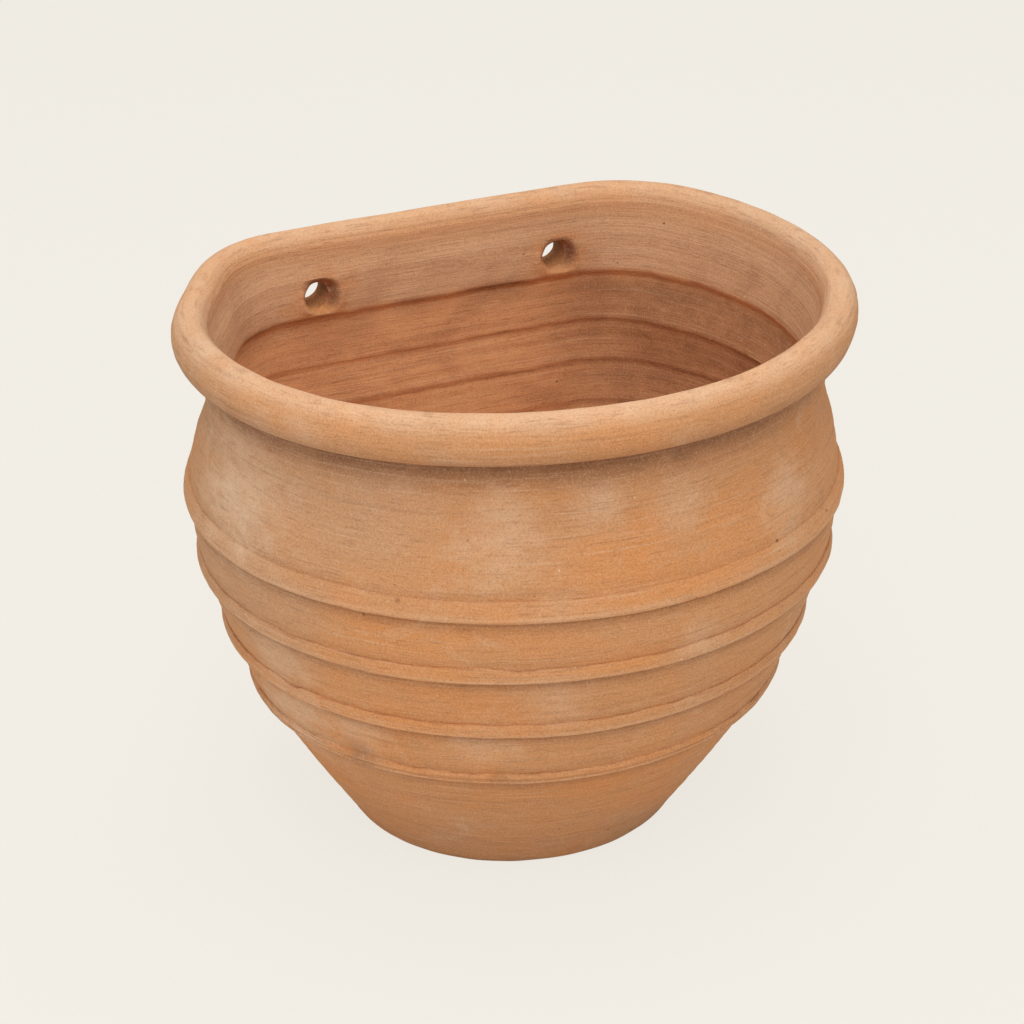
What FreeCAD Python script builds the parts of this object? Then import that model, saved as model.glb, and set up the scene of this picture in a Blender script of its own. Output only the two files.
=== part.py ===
import FreeCAD, Part
import math
import os

# Thrown terracotta wall planter: a round, banded pot whose back is pressed flat so that it
# hangs against a wall from two holes under its rolled rim. Millimetres, +Z up, the front
# faces -Y and the flat back +Y. The pot is worked out about its throwing axis, and frame()
# then puts the origin under the middle of its overall box.

V = FreeCAD.Vector

# ---- Heights --------------------------------------------------------------------------
pot_height = 294.0        # foot to top of the rolled rim
floor_thick = 14.0        # clay floor that the wall stands on
throat_z = 248.0          # tightest place of the mouth, under the roll
top_ring_z = 217.5        # highest throwing ridge inside
ring_pitch = 24.5         # spacing of the throwing ridges below it
ring_count = 5            # throwing ridges down the inside

# ---- Outer wall: radius at named heights ------------------------------------------------
foot_radius = 87.0        # where it stands
foot_round = 2.5          # how far the foot swells above the edge it stands on
foot_round_share = 0.3    # and how high that swell is, in the floor's thickness
lower_z, lower_radius = 53.0, 120.0      # straight flare of the lower wall
hip_z, hip_radius = 98.0, 144.5          # where the flare turns into the belly
belly_z, belly_radius = 190.0, 167.5     # widest place
shoulder_z, shoulder_radius = 217.5, 164.2
neck_z, neck_radius = 240.0, 158.8       # waist under the roll
neck_top_radius = 158.0

# ---- Plan: round in front, pressed flat behind --------------------------------------------
back_y = 127.5            # flat back, from the throwing axis
press = 1.0               # clay pressed away to make the back flat
front_ratio = 0.974       # front depth over half width
corner_radius = 66.0      # turn from the round side to the flat back
foot_set_back = 8.0       # the foot's centre lies this far behind the belly's

# ---- Walls --------------------------------------------------------------------------------
wall = 15.5               # side wall
back_wall = 17.5          # wall behind, thicker where it was pressed
throat_radius = 149.0     # half width of the throat
throat_back = 21.0        # clay behind the throat
ring_depth = 2.0          # hollow between two throwing ridges
undercut = 4.0            # hollow under the throat
undercut_span = (0.6, 0.2)  # its lower and upper end, as shares of the way down to the top ring
floor_corner = 16.0       # inside turn from wall to floor

# ---- Rolled rim ---------------------------------------------------------------------------
rim_radius = 164.5        # middle of the roll, half width
rim_corner = 68.0
roll_wide = 20.0          # across the roll
roll_high = 26.0          # foot to top of the roll
seat_reach = 13.5         # the roll's seat reaches this far inward of its middle
crest_angle = 80.0        # where the oval section is worn flat, above and below
mouth_angles = (172.0, 150.0, 125.0)  # section angles up the inside, from the mouth of the neck

# ---- Applied bands: lower edge and height of each ------------------------------------------
band_edges = (186.5, 151.5, 115.0, 80.5)
band_heights = (11.5, 8.0, 8.0, 7.0)
band_proud = 3.0          # how far a band stands out at its fullest
band_section = ((0.0, 0.75), (0.18, 1.0), (0.55, 0.72), (1.0, 0.2))  # shares of height and of that
slip = 0.1                # slip between a band and the wall

# ---- Holes --------------------------------------------------------------------------------
hang_spacing = 138.0
hang_offset = 4.0         # the pair sits this far to the right of the axis
hang_radius = 7.3
hang_below_roll = 10.5    # centres under the roll's lower edge
drain_radius = 10.0

# ---- Marks of the hand in the soft rim: direction, spread, depth ----------------------------
mark_angles = (150.0, 215.0)     # pinched left back corner, swollen left front
mark_spreads = (16.0, 30.0)
mark_depths = (-7.5, 3.8)

STATIONS = 36             # points round one plan
ROLL_LEVELS = 7           # plans up the outside of the roll
LIMIT = 1000.0

wall_top = pot_height - roll_high
seat_radius = rim_radius - seat_reach


def blend(value, low, high):
    """0 at low, 1 at high, with a smooth turn at both ends."""
    t = min(max((value - low) / (high - low), 0.0), 1.0)
    return t * t * (3.0 - 2.0 * t)


def outer_radius(z):
    """Half width of the bare wall at height z: a smooth curve through the named radii."""
    knots = [(0.0, foot_radius), (foot_round_share * floor_thick, foot_radius + foot_round),
             (lower_z, lower_radius), (hip_z, hip_radius), (belly_z, belly_radius),
             (shoulder_z, shoulder_radius), (neck_z, neck_radius), (wall_top, neck_top_radius)]
    rise = [(b[1] - a[1]) / (b[0] - a[0]) for a, b in zip(knots, knots[1:])]
    slope = [rise[0]]
    for before, after in zip(rise, rise[1:]):
        steady = before * after > 0
        slope.append(2.0 * before * after / (before + after) if steady else 0.0)
    slope.append(rise[-1])
    i = 0
    while i < len(knots) - 2 and z > knots[i + 1][0]:
        i += 1
    (z0, r0), (z1, r1) = knots[i], knots[i + 1]
    span = z1 - z0
    t = (z - z0) / span
    return ((1 + 2 * t) * (1 - t) ** 2 * r0 + t * (1 - t) ** 2 * span * slope[i]
            + t * t * (3 - 2 * t) * r1 + t * t * (t - 1) * span * slope[i + 1])


def centre_y(z):
    """The foot's centre is set back, and the offset fades as the wall widens to the belly."""
    if z >= belly_z:
        return 0.0
    return foot_set_back * (belly_radius - outer_radius(z)) / (belly_radius - foot_radius)


def hand_mark(angle, z):
    """How far the hand moved the clay outward at a direction, fading down the neck."""
    shift = sum(depth * math.exp(-((angle - at) / spread) ** 2)
                for at, spread, depth in zip(mark_angles, mark_spreads, mark_depths))
    return shift * blend(z, shoulder_z - ring_pitch, wall_top)


def reach(angle, radius, back, corner):
    """Distance to the D-shaped plan in a direction: round side, corner arc, then straight back."""
    c, s = abs(math.cos(angle)), math.sin(angle)
    if s <= 0.0:
        return radius / math.hypot(c, s / front_ratio)
    if radius <= back:
        return radius
    corner = min(corner, 0.49 * (radius + back))     # a wider turn would not fit between them
    hub_y = back - corner
    hub_x = math.sqrt((radius - corner) ** 2 - hub_y ** 2)
    if s * hub_x < c * hub_y:
        return radius
    if s * hub_x > c * back:
        return back / s
    along = c * hub_x + s * hub_y
    return along + math.sqrt(along ** 2 - (radius - corner) ** 2 + corner ** 2)


def plan(z, radius, back, corner, mid_y):
    """Points of one level plan, starting behind, with the marks of the hand in them."""
    points = []
    for i in range(STATIONS):
        degrees = 90.0 + 360.0 * i / STATIONS
        angle = math.radians(degrees)
        r = reach(angle, radius, back - mid_y, corner) + hand_mark(degrees % 360.0, z)
        points.append(V(r * math.cos(angle), mid_y + r * math.sin(angle), z))
    return points


def closed_wire(points):
    """Smooth closed curve through points, with the same even knots on every plan."""
    curve = Part.BSplineCurve()
    knots = [float(i) for i in range(len(points) + 1)]
    curve.interpolate(Points=points, PeriodicFlag=True, Parameters=knots)
    return Part.Wire(curve.toShape())


def outside(z, proud=0.0):
    """Outer plan of the wall, or of something that stands proud of it."""
    return closed_wire(plan(z, outer_radius(z) + proud, back_y + press, corner_radius + proud, centre_y(z)))


def inside(z, hollow=0.0):
    """Inner plan of the wall at a throwing ridge, or in the hollow beside it."""
    radius = outer_radius(z) - wall + hollow
    back = back_y - back_wall + hollow
    return closed_wire(plan(z, radius, back, corner_radius - wall + hollow, centre_y(z)))


def mouth(z):
    """Inner plan of the neck, from the throat up to the roll's seat."""
    t = (z - throat_z) / (wall_top - throat_z)
    radius = throat_radius + t * (seat_radius - throat_radius)
    seat_back = back_y - roll_wide / 2 - seat_reach
    back = back_y - throat_back + t * (seat_back - back_y + throat_back)
    return closed_wire(plan(z, radius, back, rim_corner - seat_reach, 0.0))


def loft(wires):
    """Solid through level plans, round in plan and straight from one level to the next."""
    return Part.makeLoft(wires, True, True, False, 5)


def spread(low, high, count):
    return [low + (high - low) * i / (count - 1) for i in range(count)]


def trimmed(shape):
    """Cut flat at the back plane, where the pot was pressed on a board."""
    board = Part.makeBox(2 * LIMIT, LIMIT, 2 * LIMIT, V(-LIMIT, back_y, -LIMIT))
    return shape.cut(board)


def wall_levels():
    """Heights of the outer wall's plans: the turns of its profile and both edges of each band."""
    levels = {floor_thick, lower_z, shoulder_z, neck_z, wall_top, 0.5 * (shoulder_z + neck_z)}
    for low, height in zip(band_edges, band_heights):
        levels.update((low, low + height))
    return sorted(levels)


def cavity():
    """Planting space: rounded floor corner, throwing rings, hollow under the throat, mouth."""
    ridges = [top_ring_z - ring_pitch * i for i in reversed(range(ring_count))]
    turn = [(0.0, -1.0), (0.12, -0.5), (0.45, -0.15), (1.0, 0.0)]
    plans = [inside(floor_thick + up * floor_corner, back * floor_corner) for up, back in turn]
    plans += [inside(lower_z), inside(0.5 * (lower_z + ridges[0]))]
    for low, high in zip(ridges, ridges[1:]):
        plans += [inside(low), inside(0.5 * (low + high), ring_depth)]
    drop = throat_z - top_ring_z
    plans += [inside(top_ring_z)] + [inside(throat_z - share * drop, undercut) for share in undercut_span]
    return loft(plans + [mouth(throat_z), mouth(wall_top)])


def hanging_holes():
    """Two round holes through the back, level, below the roll."""
    z = wall_top - hang_below_roll
    drills = [Part.makeCylinder(hang_radius, 2 * throat_back, V(hang_offset + side * hang_spacing / 2,
                                                              back_y - 1.5 * throat_back, z), V(0, 1, 0))
              for side in (-1, 1)]
    return drills[0].fuse(drills[1])


def wall_shell():
    """Thrown wall: round in front, flat behind, ringed inside, open at top and bottom."""
    body = trimmed(loft([outside(z) for z in wall_levels()]))
    return body.cut(cavity()).cut(hanging_holes())


def base_floor():
    """Floor disc with the rounded foot edge and the drain hole."""
    disc = loft([outside(z) for z in (0.0, foot_round_share * floor_thick, floor_thick)])
    drain = Part.makeCylinder(drain_radius, 3 * floor_thick, V(0, centre_y(0.0), -floor_thick))
    return disc.cut(drain)


def rim_line():
    """Middle line of the roll, as points round the plan."""
    return plan(wall_top, rim_radius, back_y - roll_wide / 2, rim_corner, 0.0)


def rim_level(z, across):
    """Plan at height z that runs beside the roll's middle line, so far outward of it."""
    line = rim_line()
    count = len(line)
    points = []
    for i, at in enumerate(line):
        run = line[(i + 1) % count] - line[(i - 1) % count]
        outward = V(run.y, -run.x, 0)
        outward.normalize()
        points.append(V(at.x, at.y, z) + outward * across)
    return closed_wire(points)


def roll_level(degrees):
    """Plan of the roll where its oval section stands at an angle: 0 outermost, 90 on the crest."""
    turn = math.radians(degrees)
    half_high = roll_high / 2
    z = pot_height - half_high + half_high * math.sin(turn) / math.sin(math.radians(crest_angle))
    return rim_level(max(z, wall_top), roll_wide / 2 * math.cos(turn))


def rolled_rim():
    """Roll laid round the mouth; it sits face to face on top of the wall."""
    outer = loft([roll_level(d) for d in spread(-crest_angle, crest_angle, ROLL_LEVELS)])
    rise = [roll_level(d) for d in mouth_angles + (180.0 - crest_angle,)]
    return outer.cut(loft([rim_level(wall_top, -seat_reach)] + rise))


def band(low, height):
    """Strip of clay laid round the wall: sharp lower edge, thinning upward, flat at the back."""
    strip = trimmed(loft([outside(low + t * height, band_proud * share) for t, share in band_section]))
    return strip.cut(loft([outside(low, slip), outside(low + height, slip)]))


def frame():
    """Shift from the throwing axis to the origin under the middle of the overall box."""
    line = rim_line()
    half = roll_wide / 2
    left = min(p.x for p in line) - half
    right = max(p.x for p in line) + half
    front = min(p.y for p in line) - half
    return V(-(left + right) / 2, -(front + back_y) / 2, 0)


def main():
    nodes = {"base_floor": base_floor(), "wall": wall_shell(), "rolled_rim": rolled_rim()}
    for i, (low, height) in enumerate(zip(band_edges, band_heights), start=1):
        nodes["band_%d" % i] = band(low, height)
    shift = frame()
    os.makedirs("parts", exist_ok=True)
    for name, shape in nodes.items():
        solid = shape.Solids[0] if len(shape.Solids) == 1 else shape
        solid = solid.copy()
        solid.translate(shift)
        box = solid.optimalBoundingBox(False)
        print("%-11s solids %d volume %.0f  x %.1f..%.1f  y %.1f..%.1f  z %.1f..%.1f  valid %s" % (
            name, len(shape.Solids), solid.Volume, box.XMin, box.XMax, box.YMin, box.YMax,
            box.ZMin, box.ZMax, solid.isValid()))
        solid.exportStep("parts/%s.step" % name)
    print("axis at", round(shift.x, 3), round(shift.y, 3))


main()
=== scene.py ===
"""Looks of the thrown terracotta wall planter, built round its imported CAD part.

Every clay member is thrown here as on the wheel: its section is drawn once, spun round the
throwing axis and pressed to the pot's plan, which is round in front and flat behind. Metres,
+Z up, the front faces -Y and the flat back +Y.
"""

import logging
import math
from dataclasses import dataclass, field
from enum import Enum

import bpy
import numpy as np
from mathutils import Matrix, Vector, kdtree, noise


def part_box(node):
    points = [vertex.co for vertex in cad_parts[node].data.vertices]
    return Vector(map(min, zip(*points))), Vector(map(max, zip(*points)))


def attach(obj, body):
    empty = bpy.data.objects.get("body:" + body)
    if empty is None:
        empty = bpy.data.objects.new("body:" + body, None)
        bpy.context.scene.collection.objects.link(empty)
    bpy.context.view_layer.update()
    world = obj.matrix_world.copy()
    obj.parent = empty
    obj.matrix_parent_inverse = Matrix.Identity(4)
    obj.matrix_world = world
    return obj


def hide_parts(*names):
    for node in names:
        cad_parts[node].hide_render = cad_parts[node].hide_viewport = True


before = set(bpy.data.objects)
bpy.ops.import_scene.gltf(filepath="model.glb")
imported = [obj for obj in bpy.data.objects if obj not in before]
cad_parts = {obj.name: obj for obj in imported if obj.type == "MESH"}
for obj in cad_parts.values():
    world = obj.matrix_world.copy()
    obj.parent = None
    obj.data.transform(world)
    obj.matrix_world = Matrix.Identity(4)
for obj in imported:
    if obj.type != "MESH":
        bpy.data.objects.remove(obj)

LOG = logging.getLogger("wall_planter")
BODY = "root"
NECK_SHADE = 0.22       # how strong the painted shade on the inside of the neck gets towards the right
RIGHT_NECK = (0.02, 0.10)  # where that painted shade starts and is full, right of the middle
RING_STOPS = 1441       # stops of the noise that runs round a ring
WIDEST_CORNER = 0.49    # largest corner arc, as a share of a plan's depth
TINY = 1e-9             # keeps a root or a division from failing


class Skin(Enum):
    """Which side of the clay a point of a section lies on."""

    OUTER = 0.0
    INNER = 1.0


class Tint(Enum):
    """What a mark on the clay looks like."""

    BLOOM = "pale bloom"
    WARM = "bright orange clay"
    DIRT = "brown dirt"


# ---- Form ---------------------------------------------------------------------------------


def ease(value: np.ndarray, low: float, high: float) -> np.ndarray:
    """Rises from 0 at low to 1 at high with a smooth turn at both ends.

    Args:
        value: Values to judge.
        low: Where the rise starts.
        high: Where the rise ends.

    Returns:
        A share from 0 to 1 for each value.
    """
    t = np.clip((value - low) / (high - low), 0.0, 1.0)
    return t * t * (3.0 - 2.0 * t)


def fade(value: np.ndarray, low: float, high: float) -> np.ndarray:
    """Falls from 1 at low to 0 at high with a smooth turn at both ends."""
    return ease(-value, -high, -low)


def line_at(value: np.ndarray, middle: float, width: float) -> np.ndarray:
    """1 at the middle, fading within about a width to either side."""
    return np.exp(-((value - middle) / width) ** 2)


def spaced(low: float, high: float, step: float) -> list[float]:
    """Even heights from low up to high, both kept, about a step apart."""
    return list(np.linspace(low, high, max(2, round(abs(high - low) / step) + 1)))


def clay_noise(points: np.ndarray, scale: float, seed: float = 0.0) -> np.ndarray:
    """Smooth unevenness of hand work at each point.

    Args:
        points: Rows of x, y, z in metres.
        scale: Bumps per metre.
        seed: Shifts the pattern, so that two uses differ.

    Returns:
        One value from about -1 to 1 for each row.
    """
    shift = Vector((seed, -seed, 0.5 * seed))
    return np.array([noise.noise(Vector(p) * scale + shift) for p in points])


def ring_noise(angle: np.ndarray, waves: float, seed: float) -> np.ndarray:
    """Unevenness along a ring that meets itself after one turn.

    Args:
        angle: Directions in radians.
        waves: How fine the unevenness is.
        seed: Shifts the pattern.

    Returns:
        One value from about -1 to 1 for each direction.
    """
    table = np.linspace(-math.pi, math.pi, RING_STOPS)
    values = [noise.noise(Vector((math.cos(a) * waves, math.sin(a) * waves, seed))) for a in table]
    return np.interp((angle + math.pi) % (2 * math.pi) - math.pi, table, values)


@dataclass(frozen=True)
class Lumps:
    """Soft unevenness all over the clay: its bumps per metre, its pattern's shift and its depth."""

    per_metre: float
    seed: float
    depth: float = 1.0

    def at(self, points: np.ndarray) -> np.ndarray:
        """Unevenness at each point, up to about the depth either way."""
        return self.depth * clay_noise(points, self.per_metre, self.seed)


@dataclass(frozen=True)
class Waver:
    """Unevenness along a ring: how fine it is, its pattern's shift and its depth."""

    waves: float
    seed: float
    depth: float = 1.0

    def at(self, angle: np.ndarray, number: int = 1) -> np.ndarray:
        """Unevenness in each direction, its pattern shifted for each of several like rings."""
        return self.depth * ring_noise(angle, self.waves, self.seed * number)


@dataclass(frozen=True)
class Ripple:
    """Fine throwing lines: depth outside and inside, pitch, climb in a turn, drift with the lumps."""

    outer: float
    inner: float
    pitch: float
    climb: float
    drift: float

    def at(self, z: np.ndarray, turn: np.ndarray, slow: np.ndarray) -> np.ndarray:
        """Height of the lines from -1 to 1, at each height and share of a turn."""
        return np.sin(2 * math.pi * (z / self.pitch + self.climb * turn + self.drift * slow))


@dataclass(frozen=True)
class Streak:
    """Line along an edge, used for painted shade, pale crests and a burr: how far above the edge it lies, how
    wide and how strong it is.
    """

    above: float
    width: float
    strength: float

    def at(self, value: np.ndarray, edge: float) -> np.ndarray:
        """How strong the line is at each height, where the edge is at the given one."""
        return self.strength * line_at(value, edge + self.above, self.width)


@dataclass(frozen=True)
class Plan:
    """One level plan of the pot: a round side, corner arcs and a straight back."""

    radius: float
    back: float
    corner: float
    centre: float
    height: float
    skin: Skin = Skin.OUTER


def between(low: Plan, high: Plan, share: float) -> Plan:
    """Plan part of the way from one plan to another.

    Args:
        low: Plan at the start.
        high: Plan at the end.
        share: How far along the plan is, from 0 to 1.

    Returns:
        The plan, on the first one's side of the clay.
    """
    values = [a + (b - a) * share for a, b in (
        (low.radius, high.radius), (low.back, high.back), (low.corner, high.corner),
        (low.centre, high.centre), (low.height, high.height))]
    return Plan(*values, low.skin)


@dataclass(frozen=True)
class HandMark:
    """A place where the hand moved the soft rim outward, or inward where depth is negative."""

    degrees: float
    spread: float
    depth: float

    def push(self, angle: np.ndarray) -> np.ndarray:
        """Outward shift in each direction."""
        apart = (np.degrees(angle) - self.degrees + 180.0) % 360.0 - 180.0
        return self.depth * np.exp(-((apart / self.spread) ** 2))


@dataclass(frozen=True)
class ThrownForm:
    """The pot's own sizes: its heights, its radii and how its plan was pressed."""

    height: float = 0.294
    floor: float = 0.014
    wall_top: float = 0.268
    throat_z: float = 0.248
    throat_radius: float = 0.149
    throat_back: float = 0.021
    undercut: float = 0.0030
    undercut_drop: float = 0.006
    top_ring_z: float = 0.2175
    ring_pitch: float = 0.0245
    ring_count: int = 8
    ring_depth: float = 0.0011
    floor_corner: float = 0.016
    wall: float = 0.0155
    back_wall: float = 0.0175
    back: float = 0.1275
    front_ratio: float = 0.974
    corner: float = 0.066
    foot_set_back: float = 0.008
    belly_z: float = 0.190
    rim_radius: float = 0.1645
    rim_corner: float = 0.068
    half_wide: float = 0.0100
    half_high: float = 0.0130
    seat_reach: float = 0.0123
    seat_back: float = 0.0103
    hang_spacing: float = 0.138
    hang_offset: float = 0.004
    hang_height: float = 0.2575
    radii: tuple[tuple[float, float], ...] = (
        (0.0, 0.0870), (0.0042, 0.0895), (0.053, 0.1200), (0.098, 0.1445),
        (0.190, 0.1675), (0.2175, 0.1642), (0.240, 0.1588), (0.268, 0.1580),
    )
    bands: tuple[tuple[float, float], ...] = (
        (0.1865, 0.0115), (0.1515, 0.0080), (0.1150, 0.0080), (0.0805, 0.0070),
    )
    mark_low: float = 0.193
    marks: tuple[HandMark, ...] = (HandMark(150.0, 16.0, -0.0075), HandMark(215.0, 30.0, 0.0038))

    def outer_radius(self, z: float) -> float:
        """Half width of the bare wall, a smooth curve through the named radii.

        Args:
            z: Height in metres.

        Returns:
            The half width there.
        """
        knots = self.radii
        rise = [(b[1] - a[1]) / (b[0] - a[0]) for a, b in zip(knots, knots[1:])]
        slope = [rise[0]]
        for before, after in zip(rise, rise[1:]):
            slope.append(2 * before * after / (before + after) if before * after > 0 else 0.0)
        slope.append(rise[-1])
        i = max(0, min(len(knots) - 2, sum(z > k[0] for k in knots) - 1))
        (z0, r0), (z1, r1) = knots[i], knots[i + 1]
        span = z1 - z0
        t = (z - z0) / span
        start = (1 + 2 * t) * (1 - t) ** 2 * r0 + t * (1 - t) ** 2 * span * slope[i]
        return start + t * t * (3 - 2 * t) * r1 + t * t * (t - 1) * span * slope[i + 1]

    def centre(self, z: float) -> float:
        """How far the plan's middle lies behind the throwing axis.

        Args:
            z: Height in metres.

        Returns:
            The distance there, none from the belly up.
        """
        if z >= self.belly_z:
            return 0.0
        foot, belly = self.outer_radius(0.0), self.outer_radius(self.belly_z)
        return self.foot_set_back * (belly - self.outer_radius(z)) / (belly - foot)

    def outside(self, z: float, proud: float = 0.0) -> Plan:
        """Plan of the wall's outer face, or of clay that stands proud of it."""
        return Plan(self.outer_radius(z) + proud, self.back, self.corner + proud, self.centre(z), z)

    def inside(self, z: float, hollow: float = 0.0) -> Plan:
        """Plan of the wall's inner face, or of a hollow in it."""
        return Plan(self.outer_radius(z) - self.wall + hollow, self.back - self.back_wall + hollow,
                    self.corner - self.wall + hollow, self.centre(z), z, Skin.INNER)

    def mouth(self, z: float, hollow: float = 0.0) -> Plan:
        """Plan of the neck's inner face, from the throat up to the roll, or of the hollow under it.

        Args:
            z: Height in metres.
            hollow: How far the face is set back into the clay.

        Returns:
            The plan there.
        """
        t = max(z - self.throat_z, 0.0) / (self.wall_top - self.throat_z)
        radius = self.throat_radius + t * (self.rim_radius - self.seat_reach - self.throat_radius)
        clay = self.throat_back - t * (self.throat_back - self.half_wide - self.seat_back)
        corner = self.rim_corner - self.seat_reach
        return Plan(radius + hollow, self.back - clay + hollow, corner + hollow, 0.0, z, Skin.INNER)

    def reach(self, angle: np.ndarray, radius: np.ndarray, back: np.ndarray,
              corner: np.ndarray) -> np.ndarray:
        """Distance from a plan's middle to its line.

        Args:
            angle: Direction of each point in radians.
            radius: Half width of each point's plan.
            back: Distance to each plan's straight back.
            corner: Radius of each plan's corner arcs.

        Returns:
            The distance for each point.
        """
        c, s = np.abs(np.cos(angle)), np.sin(angle)
        front = radius / np.hypot(c, s / self.front_ratio)
        corner = np.minimum(corner, WIDEST_CORNER * (radius + back))
        hub_y = back - corner
        hub_x = np.sqrt(np.maximum((radius - corner) ** 2 - hub_y ** 2, TINY))
        along = c * hub_x + s * hub_y
        arc = along + np.sqrt(np.maximum(along ** 2 - (radius - corner) ** 2 + corner ** 2, 0.0))
        behind = np.where(s * hub_x < c * hub_y, radius, arc)
        behind = np.where(s * hub_x > c * back, back / np.maximum(s, TINY), behind)
        behind = np.where(radius <= back, radius, behind)
        return np.where(s <= 0.0, front, behind)

    def hand(self, angle: np.ndarray, z: np.ndarray) -> np.ndarray:
        """Outward shift that the hand left, full at the rim and fading down the neck."""
        push = sum(mark.push(angle) for mark in self.marks)
        return push * ease(z, self.mark_low, self.wall_top)

    def pressed(self, plans: list[Plan], index: np.ndarray, angle: np.ndarray) -> np.ndarray:
        """Places of points on their level plans, about the throwing axis.

        Args:
            plans: Plans of the section's points.
            index: Which plan each point lies on.
            angle: Direction of each point in radians.

        Returns:
            Rows of x, y, z.
        """
        radius, back, corner, centre, z = (
            np.array([getattr(p, name) for p in plans])[index]
            for name in ("radius", "back", "corner", "centre", "height"))
        far = self.reach(angle, radius, back - centre, corner) + self.hand(angle, z)
        return np.stack([far * np.cos(angle), centre + far * np.sin(angle), z], axis=1)


# ---- Work at the wheel ----------------------------------------------------------------------


def only(obj: bpy.types.Object) -> None:
    """Leaves one object selected and active.

    Args:
        obj: The object.
    """
    bpy.ops.object.select_all(action="DESELECT")
    obj.select_set(True)
    bpy.context.view_layer.objects.active = obj


def read_points(obj: bpy.types.Object) -> np.ndarray:
    """Reads where a mesh's points lie.

    Args:
        obj: The mesh's object.

    Returns:
        Rows of x, y, z.
    """
    flat = np.empty(len(obj.data.vertices) * 3)
    obj.data.vertices.foreach_get("co", flat)
    return flat.reshape(-1, 3)


def write_points(obj: bpy.types.Object, points: np.ndarray) -> None:
    """Puts rows of x, y, z back into an object's mesh."""
    obj.data.vertices.foreach_set("co", np.ascontiguousarray(points).ravel())
    obj.data.update()


def point_normals(obj: bpy.types.Object) -> np.ndarray:
    """Reads which way a mesh faces at its points.

    Args:
        obj: The mesh's object.

    Returns:
        Rows of x, y, z, each of length 1.
    """
    flat = np.empty(len(obj.data.vertices) * 3, np.float32)
    obj.data.vertex_normals.foreach_get("vector", flat)
    return flat.reshape(-1, 3).astype(float)


def write_value(obj: bpy.types.Object, name: str, values: np.ndarray) -> None:
    """Stores one number at each point of a mesh, for its material to read."""
    attribute = obj.data.attributes.new(name, "FLOAT", "POINT")
    attribute.data.foreach_set("value", values.astype(np.float32))


@dataclass(frozen=True)
class Wheel:
    """The wheel: spins a section into a ring of clay and puts it where the pot stands."""

    axis: tuple[float, float]
    steps: int = 420
    weld: float = 0.00002
    seed_circle: float = 0.01

    def spin(self, name: str, section: list[tuple[float, float]], steps: int) -> bpy.types.Object:
        """Spins a closed section round the upright axis.

        Args:
            name: Name of the new piece.
            section: Radius and height of each point, in order round the section.
            steps: Stops in one turn.

        Returns:
            A closed ring, still about the origin.
        """
        bpy.ops.object.select_all(action="DESELECT")
        bpy.ops.mesh.primitive_circle_add(vertices=len(section), radius=self.seed_circle,
                                          fill_type="NOTHING")
        obj = bpy.context.object
        obj.name = name
        obj.data.name = name
        write_points(obj, np.array([(radius, 0.0, z) for radius, z in section]))
        bpy.ops.object.mode_set(mode="EDIT")
        bpy.ops.mesh.select_all(action="SELECT")
        bpy.ops.mesh.spin(steps=steps, angle=2 * math.pi, center=(0, 0, 0), axis=(0, 0, 1))
        bpy.ops.mesh.select_all(action="SELECT")
        bpy.ops.mesh.remove_doubles(threshold=self.weld)
        bpy.ops.mesh.normals_make_consistent(inside=False)
        bpy.ops.object.mode_set(mode="OBJECT")
        return obj

    def follow(self, obj: bpy.types.Object,
               section: list[tuple[float, float]]) -> tuple[np.ndarray, np.ndarray]:
        """Finds the section point and the direction of each point of a spun ring.

        Args:
            obj: The spun ring.
            section: The section it was spun from.

        Returns:
            Indices into the section, and directions in radians.
        """
        tree = kdtree.KDTree(len(section))
        for i, (radius, z) in enumerate(section):
            tree.insert((radius, 0.0, z), i)
        tree.balance()
        points = read_points(obj)
        radii = np.hypot(points[:, 0], points[:, 1])
        index = np.array([tree.find((r, 0.0, z))[1] for r, z in zip(radii, points[:, 2])])
        return index, np.arctan2(points[:, 1], points[:, 0])

    def place(self, points: np.ndarray) -> np.ndarray:
        """Moves points from the throwing axis to the pot's place in the frame."""
        return points + np.array([self.axis[0], self.axis[1], 0.0])

    def finish(self, obj: bpy.types.Object, sharp: float = 50.0) -> None:
        """Turns the faces outward and smooths them, except across hard edges.

        Args:
            obj: The piece.
            sharp: Angle in degrees from which an edge stays hard.
        """
        only(obj)
        bpy.ops.object.mode_set(mode="EDIT")
        bpy.ops.mesh.select_all(action="SELECT")
        bpy.ops.mesh.normals_make_consistent(inside=False)
        bpy.ops.object.mode_set(mode="OBJECT")
        bpy.ops.object.shade_smooth_by_angle(angle=math.radians(sharp))


# ---- Finish ---------------------------------------------------------------------------------


@dataclass(frozen=True)
class Spot:
    """A mark at one place, about the throwing axis: how far it spreads, how strong it is, its tint."""

    at: tuple[float, float, float]
    size: float
    strength: float
    tint: Tint = Tint.BLOOM


@dataclass(frozen=True)
class Grain:
    """Noise in the clay: bumps per metre along X, Y and Z, its finer layers and how far it is stirred."""

    scale: tuple[float, float, float]
    detail: float = 3.0
    rough: float = 0.55
    warp: float = 0.0


@dataclass(frozen=True)
class Flecks:
    """Scattered specks: cells per metre, a speck's radius in cells and the share of cells with one."""

    per_metre: float
    size: float
    share: float
    core: float = 0.4


@dataclass(frozen=True)
class Wash:
    """Thin coat of colour: where its pattern starts and is full, and the most that it hides."""

    low: float
    high: float
    most: float


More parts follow.
